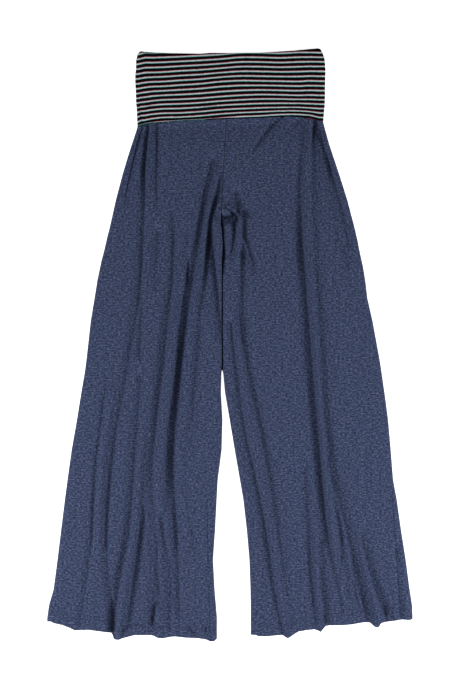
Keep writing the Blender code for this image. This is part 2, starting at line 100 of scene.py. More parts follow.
# The waistband's flap.
BAND_TOP_Y = 560.0  # its nominal top
BAND_DEPTH = 141.0  # from there to its nominal free edge
BAND_ROW_CROWDING = 0.09
BAND_COLUMN_CROWDING = 0.1
TURNED_UNDER = 1.5  # how much of its free edge is coloured dark as the rib turning under, partly painted shade
TURNED_UNDER_MORE = 0.9  # how much more on the left
LAST_COURSE = 15.5  # the dark stripe that edge shows, also as painted shade
LAST_COURSE_LESS = 0.28  # on the left it is nearer the light stripe above, so painted shade cuts into that stripe
CORNER_DROP = 2.2  # how much lower its top corners lie
CORNER_X = 135.0  # where they start to come down
CORNER_LENGTH = 15.0
CORNER_DEPTH = 30.0
FOLD_DEPTH = 9.0  # how far its top fold reaches down its sides
SIDE_ROUND = 10.0  # over which it comes down to its sides
TOP_ROUND = 7.0  # over which it comes down to its top
SIDE_OVER_LEGS = 5.45  # how high its sides stay where they lie on the legs
SEAM_TOP_Y = 474.0  # where its side seam starts to show
BAND_SEAM_GROOVE = 0.4
BAND_SEAM_REACH = 1.6

# Hem stitches.
STITCH_PITCH = 3.2
STITCH_LENGTH = 2.5
THREAD_WIDTH = 0.5
STITCH_INSET = 2.5  # how far from the leg's edges the rows end
STITCH_POINTS = 240  # along each row's line

Section = namedtuple("Section", "y left_outer left_inner right_inner right_outer")
LEG_SECTIONS = [Section(*row) for row in (
    (451.5, -170, -6.5, -5.5, 174.5),
    (427, -172, -7, -6.5, 176.5),
    (408, -177.5, -8, -7.5, 181.5),
    (379.5, -187, -9.5, -9, 189.5),
    (351, -196, -11, -10.5, 199),
    (322.5, -204.5, -13, -12.5, 208.5),
    (275, -217, -15.5, -15, 223.5),
    (250, -222.5, -17, -16, 230),
    (227.5, -227.5, -17, -13.5, 236),
    (217, -230, -15, -12, 238.5),
    (206, -233, -14.5, -12, 241),
    (195, -235.5, -13, -11.5, 243.5),
    (184, -238, -13.5, -10.5, 245.5),
    (172, -241, -14, -10, 248),
    (161, -244, -15, -11.5, 250.5),
    (149.5, -246.5, -14.8, -13.6, 253),
    (123, -252, -15, -14, 257.5),
    (88.5, -257.5, -15, -14, 261.5),
    (47, -264.5, -15, -13.5, 271),
    (-29, -273, -15, -13.5, 285),
    (-52, -276, -16, -13, 288.5),
    (-90, -282.5, -17, -9.5, 294),
    (-143, -291, -14, -0.5, 301),
    (-200, -301, -15.5, 9, 306),
    (-257, -309, -23, 19, 310.5),
    (-295, -314, -25, 25.5, 317.5),
    (-352, -321, -28, 32, 325.5),
    (-409, -328, -32, 37, 334.5),
    (-466, -335.5, -29, 39, 342),
    (-494.5, -344, -26.5, 39.5, 346.5),
    (-519.5, -347.5, -24.5, 39.5, 347.5),
)]

Point = namedtuple("Point", "x y")
LEFT_HEM = [Point(*row) for row in (
    (-347.5, -526.5), (-341, -526), (-333.5, -529.5), (-318, -533), (-303, -539),
    (-294.5, -543), (-282, -542.5), (-269.5, -542), (-250.5, -544.5), (-235.5, -546.5),
    (-223.5, -548), (-222.5, -558.5), (-217, -560.5), (-211.5, -561), (-204, -558),
    (-181.5, -552), (-150, -552), (-144, -553.5), (-137.5, -557.5), (-127, -558),
    (-112, -555), (-104, -554.5), (-82.5, -557), (-58.5, -558), (-44.5, -560.5),
    (-37, -564), (-29.5, -563.4), (-24.5, -558.5),
)]
RIGHT_HEM = [Point(*row) for row in (
    (40.5, -551.5), (48, -551.5), (54.5, -554), (72.5, -554), (88, -552.5),
    (100, -552), (107, -556.5), (110.5, -558), (116, -554.5), (122.5, -550),
    (130.5, -545), (145.5, -542.5), (160.5, -541), (168.5, -543.5), (172.5, -546.5),
    (176, -541.5), (182, -535), (190, -533.5), (217, -533), (233, -531.5),
    (252, -528), (266, -528), (275, -536), (278.5, -537.5), (283, -536.8),
    (287.5, -529), (305, -526), (328, -522.5), (342, -523.5), (347.5, -521.5),
)]
BAND_TOP = [Point(*row) for row in (
    (-174, 556.5), (-168, 558), (-152, 556), (-114, 554), (-57, 553), (-38, 554.5), (0, 554.5),
    (57, 555), (99, 557.5), (123.5, 559), (144.5, 561.5), (167.5, 563.5), (171, 562.5), (174.5, 560),
)]
BAND_FREE_EDGE = [Point(*row) for row in (
    (-174.5, 414), (-167.5, 416), (-155.5, 419), (-144, 420), (-132, 421),
    (-117.5, 422), (-95, 424), (-76, 425), (-51, 426), (-28.5, 427.5),
    (-15, 428), (0, 429), (34.5, 429.5), (70.5, 431), (93.5, 432.5),
    (110.5, 433), (133, 432), (151.5, 429), (163, 426.5), (178, 424.5),
)]
BandSection = namedtuple("BandSection", "y left right")
BAND_SECTIONS = [BandSection(*row) for row in (
    (560, -173, 173.5), (554.5, -176, 176.5), (545, -178.5, 180), (529, -178.5, 181.5),
    (517, -180, 182), (503, -180, 181.5), (484, -179, 181), (465, -178.5, 181),
    (450, -177, 180.5), (436, -176.5, 179), (416, -175.5, 177.5),
)]
# Heights of six of the waistband's fifteen light stripes, at fourteen places across it.
StripeLine = namedtuple(
    "StripeLine",
    "stripe y_m175 y_m170 y_m161 y_m148 y_m133 y_m95 y_m57 "
    "y_m19 y_19 y_57 y_95 y_133 y_152 y_171",
)
STRIPE_PLACES = (-175, -170, -161, -148, -133, -95, -57, -19, 19, 57, 95, 133, 152, 171)
STRIPE_LINES = [StripeLine(*row) for row in (
    (1, 542, 543, 545, 545, 545.5, 547, 549,
     551, 554.5, 554.5, 553.5, 555, 555, 554.5),
    (4, 514, 515, 516.5, 517, 517.5, 520, 522,
     525, 528, 528, 527, 528, 528.5, 528.5),
    (7, 486, 487, 488.5, 490, 490.5, 493, 495.5,
     499.5, 501.5, 501, 500.5, 500, 501, 500.5),
    (10, 459, 460, 461, 463, 464.5, 466, 468,
     471, 473.5, 475, 474.5, 473.5, 474, 473.5),
    (13, 432.5, 434.5, 435.5, 437.5, 439, 440, 442.5,
     446, 448, 449.5, 450.5, 450.5, 449.5, 448.5),
    (15, 413, 416, 418, 421, 423, 424.5, 426.5,
     430, 433, 434.5, 437, 437, 435.5, 431.5),
)]

# The waistband's left side seam, where it comes round to the front.
BAND_SEAM = [Point(*row) for row in (
    (-177, 474), (-174, 468), (-172.5, 452.5), (-170.5, 437.5), (-168, 424), (-165, 414),
)]

# A crease runs from y_top down to y_foot, with its x given at seven even heights between them
# and its depth at five. A roll is a crease of negative depth. The pinch makes its floor sharp.
# Many of these rows are a fitting script's numbers, rounded.
Fold = namedtuple(
    "Fold",
    "name y_top y_foot x0 x1 x2 x3 x4 x5 x6 d0 d1 d2 d3 d4 reach_left reach_right pinch",
)
LEFT_FOLDS = [Fold(*row) for row in (
    ("side_crease", -60, -530, -233, -242, -250, -256, -262, -273, -283,
     3, 4, 5, 5, 4, 12, 6, 0.3),
    ("overlap_crease", -60, -542, -168, -175, -182, -188, -196, -212, -222,
     5, 7, 8, 8, 8, 16, 6, 0),
    ("hip_crease_outer", 438, -538.5, -156.5, -163, -171.5, -196, -222.5, -233.5, -220,
     1, 8.5, 6.5, 5, 8.5, 16, 5, 0),
    ("hip_edge_crease", 427, 275, -164, -169.5, -176.5, -182.5, -188.5, -194.5, -198.5,
     9.5, 8, 5.5, 4.5, 2.5, 4.5, 4.5, 0.2),
    ("shin_crease", -150, -520, -158, -162, -166, -170, -177, -185, -193,
     2, 5, 8, 8, 8, 6, 14, 0.3),
    ("hip_crease_short", 423, 271, -139.5, -138.5, -138.5, -139, -140, -140, -138.5,
     8, 8, 6.5, 5, 3, 8, 7, 0),
    ("mid_crease", 300, -535, -104, -110, -121, -138, -150, -140, -148,
     2, 6.5, 8.5, 7, 8, 18, 9, 0),
    ("cuff_hollow", -333, -532.5, -127, -122, -117, -115, -114, -114, -114,
     7, 7.5, 7.5, 7.5, 5, 16, 6, 0),
    ("inner_ripple", -295, -428, -76, -73.5, -71.5, -68.5, -65.5, -62, -58.5,
     0.5, 1.5, 2, 1.5, 0.5, 8, 8, 0),
    ("long_crease", 345, -508, -30, -58, -82, -98, -109, -101, -96,
     7, 8, 8, 8, 7, 17, 6, 0),
    ("crotch_crease", 320, 85, -19, -25.5, -35, -41, -44, -49, -51,
     3, 11.5, 9, 6.5, 3, 8, 8, 0),
    ("inseam_crease", 203, 28, -35, -32, -29, -26.5, -24, -21.5, -18,
     6, 9.5, 10, 9.5, 8, 14, 8, 0),
    ("roll_side", -95.5, -380.5, -222, -231, -237, -241, -243.5, -245, -245,
     -3.5, -5, -6, -6, -4, 17, 6, 0),
    ("roll_overlap", -323.5, -546, -174, -179, -185, -192, -199, -205.5, -210.5,
     -5, -7, -8, -7, -7, 11, 7, 0),
    ("roll_long", 265.5, -380.5, -57, -82, -100, -112, -123, -127, -113,
     -2, -7, -8, -8, -4, 20, 6, 0.5),
    ("roll_crotch", 328, 66, -25, -35, -42, -47, -54, -62, -68,
     -3, -6, -7.5, -6.5, -4, 10, 5, 0),
    ("roll_thigh", 237, 145.5, -28, -27.5, -28, -26.5, -25, -24, -22,
     -7, -7.5, -7, -6, -6, 7, 16, 0),
    ("hip_rim", 377.5, 267, -153.5, -154.5, -155.5, -156, -156.5, -156.5, -156.5,
     -1, -3, -4, -3, -1, 4, 9, 0),
    ("hip_hollow", 275, -14, -161.5, -162, -163, -164, -166, -168.5, -171,
     1, 0, 2, 6, 7, 14, 7, 0.4),
    ("inner_hollow", 100, -219, -57, -59, -62, -67.5, -71, -74.5, -77.5,
     4, 7.5, 7, 6, 2, 12, 13, 0),
    ("cuff_slant", -219, -413, -87, -84.5, -82, -79.5, -74.5, -69.5, -64.5,
     1, 2, 2, 2, 1, 5, 5, 0),
    ("thigh_ripple_outer", 208.5, 94.5, -138.5, -139.5, -140.5, -141.5, -141.5, -142, -142.5,
     7, 6.5, 6, 4, 0, 12, 13, 0),
    ("thigh_ripple_middle", 246.5, 75.5, -111, -110, -109, -110, -110.5, -112.5, -115,
     2, 4.5, 4, 3, 2, 6, 10, 0),
    ("thigh_ripple_inner", 208.5, 75.5, -78.5, -79, -79.5, -80.5, -82, -85, -90,
     3, 6, 8.5, 5, 2, 13, 5, 0),
    ("long_hollow", 85, -295, -95, -99, -102.5, -110.5, -119.5, -122, -124.5,
     6, 7, 7, 7, 6, 5, 16, 0.4),
    ("cuff_dent", -428, -500.5, -137.5, -137, -136.5, -136, -135.5, -135.5, -135.5,
     1, 3.5, 7, 5, -3, 5, 9, 0),
    ("crotch_pocket", 210, 123, -40, -40.5, -42, -44, -45, -45.5, -45.5,
     1, 6, 5, 4, 4, 13, 8, 0),
    ("hip_line", 428.5, 271, -154.5, -156, -158.5, -161, -162.5, -162.5, -162.5,
     9, 11, 9.5, 6, 2, 9, 3.6, 0.1),
)]
RIGHT_FOLDS = [Fold(*row) for row in (
    ("crotch_hollow", 244.5, 157, 15.5, 10.5, 9.5, 8.5, 6, 3, 1,
     8, 11, 8, 5, 1, 8, 4.5, 0.1),
    ("crotch_slant", 237, 149.5, 22.5, 24, 26.5, 32, 37, 41, 44,
     2, 8, 9, 8, 5, 7, 10, 0),
    ("inseam_crease", 37.5, -546, 5, 15, 27, 49, 68, 83, 101,
     5, 6, 7, 7.5, 4, 18, 5, 0),
    ("inner_crease", 170.5, -519.5, 24, 23, 38, 63, 82.5, 97, 114.5,
     9, 7, 8.5, 6, 3, 11.5, 12.5, 0),
    ("hip_slant", 434.5, 358.5, 103, 86.5, 75, 63.5, 55.5, 46, 36.5,
     11, 10.5, 6, 4.5, 0, 8, 5, 0),
    ("hip_crease_short", 434.5, 415.5, 141, 138.5, 136.5, 133, 129, 126, 124.5,
     3, 3, 8, 6, 1, 9, 6, 0),
    ("cuff_crease_mid", -238, -527, 143.5, 146, 148.5, 152, 154.5, 160, 163,
     5, 6.5, 6, 6.5, 5, 15, 6, 0),
    ("long_crease", 442, -494.5, 145, 135.5, 143, 155, 170, 182.5, 212,
     1, 8, 9, 11, 5, 22, 5, 0.2),
    ("cuff_crease_second", -380.5, -527, 173, 175, 175, 177, 180, 182, 186,
     5, 6, 7, 8, 8, 14, 12, 0),
    ("hip_edge_crease", 427, 199, 166.5, 174.5, 185.5, 196, 208, 217, 224.5,
     -2, 10.5, 9, 6.5, 5, 15, 5.5, 0.1),
    ("side_crease", 438, -519.5, 161, 157, 165, 173, 187, 225, 260,
     6, 4, 2, 7, 9, 9, 19, 0),
    ("cuff_crease_faint", -409, -494.5, 215, 222, 222.5, 223, 224.5, 226, 231,
     2.5, 4.5, 4, 4.5, 3, 9, 8, 0),
    ("cuff_crease_outer", -361.5, -519.5, 249, 255, 261, 268, 277, 287, 296.5,
     6.5, 7, 6.5, 7.5, 8, 7, 21, 0),
    ("roll_crotch", 245, 132.5, 19, 20, 20.5, 18.5, 16.5, 17, 16,
     -8, -8, -6, -5, -1, 7, 4, 0),
    ("roll_inseam", 28, -546, 12, 24, 39, 58.5, 76.5, 90, 109.5,
     -3, -2, -2, -3, -2, 10, 16, 0),
    ("roll_cuff_mid", -371, -538.5, 163.5, 163.5, 164.5, 166, 168, 171.5, 172.5,
     -4, -4.5, -3.5, -3, 1, 11, 4, 0),
    ("roll_long", 430.5, -371, 153, 144, 149, 161.5, 169.5, 181, 199,
     -5, -4.5, -8, -8, -6.5, 12, 6, 0),
    ("roll_cuff_side", -399.5, -532.5, 247, 253, 260, 267.5, 273, 279, 283,
     -2.5, -5.5, -5.5, -8, 0, 11, 10, 0),
    ("crotch_shade", 305, 242.5, 12.5, 12.5, 12, 13.5, 16.5, 20, 24,
     0, 7, 8.5, 8.5, 2, 16, 19, 0),
    ("cuff_crease_fork", -223, -447, 185.5, 192.5, 199, 204.5, 210, 214, 217.5,
     3, 5, 4, 6, 0, 11, 9, 0),
    ("cuff_step", -413, -512, 234, 235, 235.5, 236.5, 240.5, 246, 251,
     1, 5.5, 4.5, 6, 3, 8.5, 5, 0),
    ("corner_hollow", -390, -515.5, 316.5, 318, 319, 320.5, 321.5, 323, 324,
     7, 3, 5, 5, 6, 9.5, 12.5, 0.3),
    ("hip_side_hollow", 389, 161, 182.5, 185, 187, 192, 199.5, 210, 222.5,
     -4, 1.5, 4, 3, 4, 8, 10, 0),
    ("long_hollow", 246.5, -67, 129.5, 130.5, 132.5, 136.5, 139, 141.5, 143.5,
     2.5, 4.5, 0, 2, 0, 12, 10, 0),
    ("thigh_hollow", 145.5, -33, 12.5, 15, 17, 18.5, 20.5, 24, 27.5,
     2, -2, 3, 5, 1, 5, 5, 0),
    ("inner_crease_top", 199, 119, 21.5, 21, 21, 21.5, 22, 23, 23.5,
     4, 4, 1, 0.5, 0.5, 5, 11, 0),
    ("hip_notch", 428.5, 362, 162.5, 161, 159, 158, 157.5, 157, 156,
     10, 10, 6, 3.5, 1.5, 4, 7.5, 0.2),
)]

# Tucks are short creases that run any way, with their line given by five points.
Tuck = namedtuple("Tuck", "name depth reach x0 x1 x2 x3 x4 y0 y1 y2 y3 y4")
LEFT_TUCKS = [Tuck(*row) for row in (
    ("arch_ridge", -5, 5,
     -16, -21.5, -28.5, -33, -34,
     278.5, 265.5, 253, 238.5, 214),
    ("arch_line", 2, 3.5,
     -18, -21, -23.5, -26, -27.5,
     269, 258.5, 252, 244.5, 235),
    ("hole_edge", 10, 3.4,
     -26.5, -22.5, -19, -16, -13,
     241.5, 243, 243.5, 243.5, 243.5),
    ("hem_arch", 6.5, 3.6,
     -207, -200.5, -190, -171, -148,
     -546, -539.5, -534, -531, -528),
    ("hem_line", 4, 3.6,
     -136.5, -127, -115.5, -102.5, -87,
     -531, -533.5, -533.5, -532.5, -531.5),
    ("hem_crease", 6, 3.6,
     -80.5, -77, -73, -69, -64.5,
     -534.5, -539.5, -543, -547, -551.5),
    ("hem_dent", 4.5, 7,
     -45.5, -45.5, -45.5, -45, -44,
     -532.5, -537.5, -542, -547, -551.5),
    ("hem_shade", 6, 6,
     -134.5, -141.5, -145, -147, -147,
     -481.5, -496.5, -510, -521.5, -534.5),
)]
RIGHT_TUCKS = [Tuck(*row) for row in (
    ("arch_ridge", -7, 4.2,
     -7.5, 2, 11, 18, 21,
     265.5, 260, 253, 242.5, 223.5),
    ("arch_line", 6, 3.2,
     -12, -1.5, 6, 12, 14.5,
     264.5, 256, 249, 242.5, 234),
    ("arch_band", -3, 5,
     -19, -13, -7.5, -1, 5,
     254, 255.5, 255.5, 252.5, 248),
    ("hole", 8, 9,
     -20, -11, -2.5, 4, 10.5,
     238, 238, 237.5, 235.5, 233),
    ("hole_edge", 11, 3.8,
     -21.5, -14, -5.5, 3, 11,
     243.5, 243.5, 243.5, 243, 238.5),
    ("hem_pinch_inner", 3, 4,
     96, 97.5, 99.5, 102, 104.5,
     -523, -529, -534.5, -540.5, -546),
    ("hem_pinch_middle", 4, 4.5,
     179.5, 180.5, 181, 182, 183,
     -512, -517.5, -522, -527, -531.5),
    ("hem_pinch_side", 4.5, 4.5,
     294.5, 295.5, 296, 296.5, 297.5,
     -495.5, -500.5, -505, -510, -515.5),
    ("arch_black", 12, 3.4,
     1, 7, 11.5, 14.5, 15,
     251.5, 248, 243.5, 238.5, 229),
)]

# Creases pressed into the hidden back: x at four even heights, and how far they stand off the floor.
BackCrease = namedtuple("BackCrease", "leg y_top y_foot x0 x1 x2 x3 height reach")
BACK_CREASES = [BackCrease(*row) for row in (
    ("left", 380, -210, -120, -128, -146, -171, 1.0, 13),
    ("left", 250, -380, -58, -70, -88, -97, 1.2, 16),
    ("left", 60, -470, -196, -214, -229, -252, 0.9, 11),
    ("left", -170, -530, -131, -138, -150, -154, 0.8, 9),
    ("right", 400, -60, 96, 112, 124, 151, 1.1, 14),
    ("right", 205, -420, 47, 66, 93, 128, 1.2, 15),
    ("right", 20, -500, 205, 221, 243, 263, 0.9, 12),
    ("right", -240, -520, 150, 159, 171, 178, 0.8, 9),
)]

# Seams that show on the front as fine lines of painted shade and bump: x is given at four even heights.
Seam = namedtuple("Seam", "leg y_top y_foot x0 x1 x2 x3")
SEAMS = [Seam(*row) for row in (
    ("left", -294, -556, -43, -42, -40, -37),
    ("right", -276, -512, 308, 313, 318.5, 323.5),
)]


# ---------------------------------------------------------------- shapes
def column(table, name):
    return np.array([getattr(row, name) for row in table], float)


def read(table, at, name, key="y"):
    """A table's column at given places along its key column."""
    keys = column(table, key)
    order = np.argsort(keys)
    return np.interp(at, keys[order], column(table, name)[order])


def smooth(t):
    t = np.clip(t, 0.0, 1.0)
    return t * t * (3.0 - 2.0 * t)


def rounded(distance, reach):
    """0 at an edge, 1 from reach inwards, as a quarter round."""
    t = 1.0 - np.clip(distance / reach, 0.0, 1.0)
    return np.sqrt(1.0 - t * t)


def curve_through(values, t):
    """A smooth curve through evenly spaced values, read at t from 0 to 1."""
    values = np.asarray(values, float)
    n = len(values) - 1
    s = np.clip(t, 0.0, 1.0) * n
    i = np.minimum(s.astype(int), n - 1)
    f = s - i
    padded = np.concatenate([[2 * values[0] - values[1]], values, [2 * values[-1] - values[-2]]])
    before, here, after, beyond = padded[i], padded[i + 1], padded[i + 2], padded[i + 3]
    return here + 0.5 * f * (
        after - before
        + f * (2 * before - 5 * here + 4 * after - beyond
               + f * (3 * (here - after) + beyond - before))
    )


def flowing(at, keys, values):
    """A smooth curve through values at uneven places."""
    slopes = np.gradient(values, keys)
    i = np.clip(np.searchsorted(keys, at) - 1, 0, len(keys) - 2)
    length = keys[i + 1] - keys[i]
    t = np.clip((at - keys[i]) / length, 0.0, 1.0)
    straight = values[i] + smooth(t) * (values[i + 1] - values[i])
    return straight + length * t * (1.0 - t) * ((1.0 - t) * slopes[i] - t * slopes[i + 1])


def undulation(x, y, across, along, seed):
    """Gentle waves of about unit height, so long across and along the leg."""
    rng = np.random.default_rng(seed)
    total = 0.0 * x
    for _ in range(9):
        a = rng.uniform(0.6, 1.5) / across
        b = rng.normal(0.0, 0.6) / along
        total = total + np.sin(2 * np.pi * (a * x + b * y) + rng.uniform(0, 2 * np.pi))
    return total / 3.0


def free_edge(x):
    return read(BAND_FREE_EDGE, x, "y", "x")


def fold_x(fold, y):
    """The fold's place at a height, and how far along it that height lies."""
    t = (fold.y_top - y) / (fold.y_top - fold.y_foot)
    return curve_through([getattr(fold, f"x{i}") for i in range(7)], t), t


def fold_depth(fold, t):
    depth = curve_through([getattr(fold, f"d{i}") for i in range(5)], t)
    fade = FADE_LENGTH / (fold.y_top - fold.y_foot)
    return depth * smooth(1.0 + t / fade) * smooth(1.0 + (1.0 - t) / fade)


def profile(offset, reach_left, reach_right, pinch):
    """A crease's shape across it: 1 at its floor and 0 past its reach on either side."""
    u = np.clip(np.abs(offset) / np.where(offset < 0.0, reach_left, reach_right), 0.0, 1.0)
    return np.square(1.0 - u) * (1.0 + 2.0 * (1.0 - pinch) * u)


def tuck_height(tuck, x, y):
    """How much a tuck lowers the cloth: its depth along its line, fading across and at its ends."""
    t = np.linspace(0.0, 1.0, 61)
    line_x = curve_through([tuck.x0, tuck.x1, tuck.x2, tuck.x3, tuck.x4], t)
    line_y = curve_through([tuck.y0, tuck.y1, tuck.y2, tuck.y3, tuck.y4], t)
    nearest = np.full(x.shape, 1e9)
    along = np.zeros(x.shape)
    for px, py, at in zip(line_x, line_y, t):
        distance = np.hypot(x - px, y - py)
        closer = distance < nearest
        nearest = np.where(closer, distance, nearest)
        along = np.where(closer, at, along)
    ends = smooth(along / TUCK_FADE + 0.15) * smooth((1.0 - along) / TUCK_FADE + 0.15)
    return tuck.depth * ends * profile(nearest, tuck.reach, tuck.reach, 0.0)


class Leg:
    """One leg's edges, hem, folds and tucks."""

    def __init__(self, side, hem, folds, tucks, seed):
        self.side = side
        self.hem_table = hem
        self.folds = folds
        self.tucks = tucks
        self.seed = seed
        self.sign = -1.0 if side == "left" else 1.0
        self.hem_mean = float(np.mean(column(hem, "y")))

    def outer(self, y):
        return read(LEG_SECTIONS, y, self.side + "_outer")

    def centre(self, y, apart=0.02):
        """This leg's side of the centre seam."""
        between = read(LEG_SECTIONS, y, "left_inner") + read(LEG_SECTIONS, y, "right_inner")
        return 0.5 * between + self.sign * apart

    def inner(self, y):
        """The front's inner edge: the centre seam, then the leg's own edge below the crotch."""
        own = read(LEG_SECTIONS, y, self.side + "_inner")
        return np.where(np.asarray(y) >= CROTCH_Y, self.centre(y), own)

    def middle(self, y):
        """The back's inner edge, which keeps to the middle down to where the legs part."""
        return np.where(np.asarray(y) >= PARTING_Y, self.centre(y, -0.3), self.inner(y))

    def hem(self, x):
        return read(self.hem_table, x, "y", "x")

    def back_low(self, x, y):
        """The back panel's underside: on the floor, then up onto the waistband's back flap."""
        rise = smooth((y - (free_edge(x) - RAMP - 1.0)) / RAMP)
        return (BAND_WALL + GAP) * rise

    def hem_extra(self, x, y, sooner=0.0):
        return HEM_EXTRA * smooth(self.hem(x) + HEM_DEPTH + 1.0 + sooner - y)

    def tucks_at(self, x, y):
        """What the tucks add to the cloth's height."""
        total = 0.0 * x
        for tuck in self.tucks:
            total = total - tuck_height(tuck, x, y)
        return total

    def drape(self, x, y):
        """How far the front would lie above the back if nothing stopped it or drew its edges down."""
        crown = CROWN - CROWN_DROP * smooth((y - CROWN_DROP_Y) / CROWN_DROP_LENGTH)
        free = 1.0 - FLAP_PRESS * smooth((y - free_edge(x) + 3.0) / FLAP_PRESS_LENGTH)
        waves = WAVE_HEIGHT * undulation(x, y, WAVE_ACROSS, WAVE_ALONG, self.seed)
        body = self.tucks_at(x, y) + waves
        for fold in self.folds:
            middle, t = fold_x(fold, y)
            body = body - fold_depth(fold, t) * profile(
                x - middle, fold.reach_left, fold.reach_right, fold.pinch
            )
        return crown + free * body

    def hollow(self, x, y):
        """How much painted shade the cloth gets: 0 on open cloth, up to 1 deep inside a crease."""
        return smooth((SHADE_LEVEL - self.drape(x, y)) / SHADE_DEPTH)

    def lift(self, x, y):
        """How far the front panel lies above its lowest, on the back panel."""
        edge = rounded(np.abs(x - self.outer(y)), EDGE_REACH)
        below = smooth((CROTCH_Y + 2.0 - y) / 10.0)
        reach = INNER_REACH + INNER_REACH_MORE * smooth((60.0 - y) / 100.0)
        inner = rounded(np.abs(x - self.inner(y)), reach)
        edge = edge * (1.0 - below * (1.0 - inner))
        total = self.drape(x, y) * edge
        return 0.5 * (total + np.sqrt(total * total + 0.25)) - 0.25 * (1.0 - edge)

    def front_low(self, x, y):
        """The front panel's underside."""
        base = self.back_low(x, y) + WALL + self.hem_extra(x, y, sooner=1.5) + GAP
        return base + self.lift(x, y)

    def front_high(self, x, y):
        from_rows = y - self.hem(x) - HEM_ROWS_MIDDLE
        stitched = HEM_GROOVE * np.exp(-np.square(from_rows / HEM_GROOVE_REACH))
        puckers = PUCKER_HEIGHT * np.sin(0.8 * x) * np.sin(0.29 * x)
        puckers = puckers * np.exp(-np.square(from_rows / PUCKER_REACH))
        return self.front_low(x, y) + CLOTH + self.hem_extra(x, y) - stitched + puckers

    def grid(self, rows, columns, inner_edge):
        """x and y of a panel's points: rows run down, columns from left to right."""
        heights = np.linspace(SEAM_Y, self.hem_mean, rows)[:, None]
        t = np.linspace(0.0, 1.0, columns)[None, :]
        share = t - LEG_CROWDING * np.sin(2.0 * np.pi * t)
        follow = smooth((HEM_FOLLOW_Y - heights) / HEM_FOLLOW_LENGTH)
        y = heights + 0.0 * share
        for _ in range(4):
            a, b = self.outer(y), inner_edge(y)
            left, right = (a, b) if self.side == "left" else (b, a)
            x = left + share * (right - left)
            y = heights + follow * (self.hem(x) - self.hem_mean)
        return x, y


# ---------------------------------------------------------------- meshes
STEEPEST = 1.6  # most that a wall is thickened for its slope
UNDERSIDE_SHIFT = 0.4  # in metres of cloth, so that its pattern isn't the upper side's


def steepness(z, x):
    """How much taller a wall's upright height is than its true thickness, from its slope."""
    dx = np.gradient(x, axis=1)
    slope = np.gradient(z, axis=1) / np.where(np.abs(dx) < 1e-6, 1e-6, dx)
    return np.minimum(np.sqrt(1.0 + slope * slope), STEEPEST)


def shell(name, x, y, low, high, material, rim=0.5, layers=1, **values):
    """A closed cloth shell between two surfaces over one grid.

    Its rim is rounded, once for each layer it stands for. Other values are kept at its points.
    """
    rows, cols = x.shape
    count = rows * cols
    out_x, out_y = np.zeros_like(x), np.zeros_like(y)
    out_x[:, 0], out_x[:, -1] = -1.0, 1.0
    out_y[0, :], out_y[-1, :] = 1.0, -1.0
    upper = np.stack([x - rim * out_x, y - rim * out_y, high], axis=-1).reshape(-1, 3)
    lower = np.stack([x - rim * out_x, y - rim * out_y, low], axis=-1).reshape(-1, 3)
    index = np.arange(count).reshape(rows, cols)
    ring = np.concatenate([index[0, :], index[1:, -1], index[-1, -2::-1], index[-2:0:-1, 0]])
    r, s = ring, np.roll(ring, -1)
    a, b = index[:-1, :-1].ravel(), index[1:, :-1].ravel()
    c, d = index[1:, 1:].ravel(), index[:-1, 1:].ravel()
    faces = [np.stack([a, b, c, d], axis=1), np.stack([a, d, c, b], axis=1) + count]
    points = [upper, lower]
    above, above_next = r, s
    steps = 2 * layers
    for step in range(1, steps):
        inset = rim if step % 2 == 0 else 0.0
        level = high + (low - high) * step / steps
        points.append(
            np.stack([x - inset * out_x, y - inset * out_y, level], axis=-1).reshape(-1, 3)[ring]
        )
        here = 2 * count + (step - 1) * len(ring) + np.arange(len(ring))
        here_next = np.roll(here, -1)
        faces.append(np.stack([above, above_next, here_next, here], axis=1))
        above, above_next = here, here_next
    faces.append(np.stack([above, above_next, s + count, r + count], axis=1))
    vertices = np.concatenate(points) * MM
    faces = np.concatenate(faces)
    mesh = bpy.data.meshes.new(name)
    mesh.from_pydata(vertices.tolist(), [], faces.tolist())
    across = np.hypot(np.diff(x, axis=1), np.diff(high, axis=1))
    u = np.concatenate([np.zeros((rows, 1)), np.cumsum(across, axis=1)], axis=1)
    u = u - u[:, cols // 2 : cols // 2 + 1] + x[:, cols // 2 : cols // 2 + 1]
    flat = np.stack([u, y], axis=-1).reshape(-1, 2) * MM
    flat = np.concatenate([flat, flat + UNDERSIDE_SHIFT] + [flat[ring]] * (steps - 1))
    corner = np.zeros(len(mesh.loops), np.int32)
    mesh.loops.foreach_get("vertex_index", corner)
    layer = mesh.uv_layers.new(name="cloth")
    layer.data.foreach_set("uv", flat[corner].astype(np.float32).ravel())
    for key, value in values.items():
        value = np.concatenate([value.ravel(), value.ravel()] + [value.ravel()[ring]] * (steps - 1))
        made = mesh.attributes.new(key, "FLOAT", "POINT")
        made.data.foreach_set("value", value.astype(np.float32))
    mesh.shade_smooth()
    mesh.materials.append(material)
    obj = bpy.data.objects.new(name, mesh)
    bpy.context.scene.collection.objects.link(obj)
    return obj


# ---------------------------------------------------------------- materials
def linear(hex_colour):
    """An sRGB hex colour as linear red, green, blue and full opacity."""
    parts = [int(hex_colour[i : i + 2], 16) / 255.0 for i in (0, 2, 4)]
    return (*[p / 12.92 if p <= 0.04045 else ((p + 0.055) / 1.055) ** 2.4 for p in parts], 1.0)


def node(tree, kind, inputs=None, stops=None, **settings):
    """Adds a node with its settings, its inputs' values or links, and a colour ramp's stops."""
    made = tree.nodes.new(kind)
    for key, value in settings.items():
        setattr(made, key, value)
    for key, value in (inputs or {}).items():
        if isinstance(value, bpy.types.NodeSocket):
            tree.links.new(value, made.inputs[key])
        else:
            made.inputs[key].default_value = value
    if stops:
        elements = made.color_ramp.elements
        for position, colour in stops[1:-1]:
            elements.new(position).color = colour
        elements[0].position, elements[0].color = stops[0]
        elements[-1].position, elements[-1].color = stops[-1]
    return made


